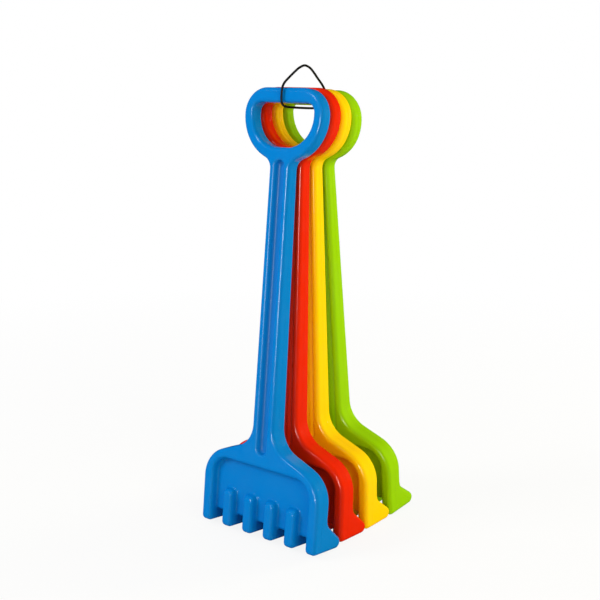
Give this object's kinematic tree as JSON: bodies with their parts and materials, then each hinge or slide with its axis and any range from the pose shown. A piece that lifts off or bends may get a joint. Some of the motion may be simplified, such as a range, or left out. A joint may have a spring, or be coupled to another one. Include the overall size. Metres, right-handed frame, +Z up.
{
  "type": "sand rake set",
  "caption": "Moulded sand rakes with D-shaped grips, grooved shafts and broad toothed heads, nested one behind the other on a cord loop.",
  "frame": {"origin": "on the floor, at the middle of the standing set's width and depth", "axes": "+X across the rakes, to the right of someone who faces the front rake; +Y from the front rake to the back one; +Z up"},
  "size_m": [0.15, 0.1809, 0.4749],
  "materials": {
    "blue_plastic": "glossy moulded polyethylene",
    "red_plastic": "glossy moulded polyethylene",
    "yellow_plastic": "glossy moulded polyethylene",
    "green_plastic": "glossy moulded polyethylene",
    "cord": "braided synthetic cord"
  },
  "bodies": {
    "blue": {"blue_rake": "blue_plastic", "hang_loop": "cord", "loop_knot": "cord"},
    "red": {"red_rake": "red_plastic"},
    "yellow": {"yellow_rake": "yellow_plastic"},
    "green": {"green_rake": "green_plastic"}
  },
  "joints": [
    {"name": "red_swing", "type": "hinge", "parent": "blue", "child": "red", "pos_m": [0, -0.02747, 0.43383], "axis": [0, 0.9991, -0.0415], "range_deg": [-8, 8]},
    {"name": "yellow_swing", "type": "hinge", "parent": "red", "child": "yellow", "pos_m": [0, -0.01065, 0.43277], "axis": [0, 0.9997, 0.0252], "range_deg": [-8, 8]},
    {"name": "green_swing", "type": "hinge", "parent": "yellow", "child": "green", "pos_m": [0, 0.00638, 0.43209], "axis": [0, 0.9958, 0.0919], "range_deg": [-8, 8]}
  ]
}
